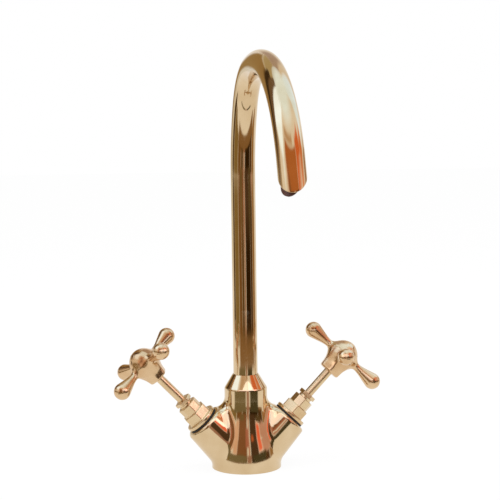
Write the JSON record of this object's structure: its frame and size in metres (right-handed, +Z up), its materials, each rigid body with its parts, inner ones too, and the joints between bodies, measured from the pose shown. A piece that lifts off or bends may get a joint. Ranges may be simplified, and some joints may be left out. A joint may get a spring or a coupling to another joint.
{
  "type": "basin mixer tap",
  "caption": "Deck-mounted single-hole basin mixer in polished brass with a tall swivelling gooseneck spout and leaning cross-handle valves.",
  "frame": {"origin": "centre of the base's underside, on the deck that the tap stands on", "axes": "+Z up along the column, -Y the way the spout reaches at rest, +X towards the right valve"},
  "size_m": [0.1975, 0.2041, 0.2978],
  "materials": {
    "polished_brass": "hand-polished, unlacquered",
    "cast_brass": "cast, satin-polished",
    "turned_brass": "turned and milled, bright",
    "black_rubber": "moulded, matte",
    "dark_plastic": "acetal, matte",
    "grey_plastic": "moulded, matte",
    "white_ptfe": "pressed PTFE",
    "stainless_steel": "plain"
  },
  "bodies": {
    "faucet_body": {"mixer_body": "polished_brass", "base_seal": "black_rubber", "spout_keeper_screw": "stainless_steel", "spout_slip_ring": "dark_plastic", "bonnet_left": "turned_brass", "bonnet_gasket_left": "black_rubber", "gland_packing_left": "white_ptfe", "gland_nut_left": "turned_brass", "bonnet_right": "turned_brass", "bonnet_gasket_right": "black_rubber", "gland_packing_right": "white_ptfe", "gland_nut_right": "turned_brass"},
    "spout": {"spout_tube": "polished_brass", "spout_spigot": "turned_brass", "spout_seal_upper": "black_rubber", "spout_seal_lower": "black_rubber", "aerator_housing": "dark_plastic", "aerator_screen": "grey_plastic", "aerator_washer": "black_rubber"},
    "jumper_left": {"jumper_left": "turned_brass", "jumper_washer_left": "black_rubber", "jumper_nut_left": "turned_brass"},
    "spindle_left": {"spindle_left": "turned_brass", "handle_left": "cast_brass", "handle_screw_left": "stainless_steel"},
    "jumper_right": {"jumper_right": "turned_brass", "jumper_washer_right": "black_rubber", "jumper_nut_right": "turned_brass"},
    "spindle_right": {"spindle_right": "turned_brass", "handle_right": "cast_brass", "handle_screw_right": "stainless_steel"}
  },
  "joints": [
    {"name": "spout_swivel", "type": "hinge", "parent": "faucet_body", "child": "spout", "pos_m": [0, 0, 0.0635], "axis": [0, 0, 1], "continuous": true},
    {"name": "valve_lift_left", "type": "slide", "parent": "faucet_body", "child": "jumper_left", "axis": [-0.6909, 0, 0.723], "range_m": [0, 0.005]},
    {"name": "handle_turn_left", "type": "hinge", "parent": "jumper_left", "child": "spindle_left", "pos_m": [-0.07351, 0, 0.07902], "axis": [-0.6909, 0, 0.723], "range_deg": [0, 900]},
    {"name": "valve_lift_right", "type": "slide", "parent": "faucet_body", "child": "jumper_right", "axis": [0.6909, 0, 0.723], "range_m": [0, 0.005]},
    {"name": "handle_turn_right", "type": "hinge", "parent": "jumper_right", "child": "spindle_right", "pos_m": [0.07351, 0, 0.07902], "axis": [0.6909, 0, 0.723], "range_deg": [0, 900]}
  ],
  "couplings": [
    {"joint": "valve_lift_left", "follows": "handle_turn_left", "m_per_rad": 0.0003183},
    {"joint": "valve_lift_right", "follows": "handle_turn_right", "m_per_rad": 0.0003183}
  ]
}
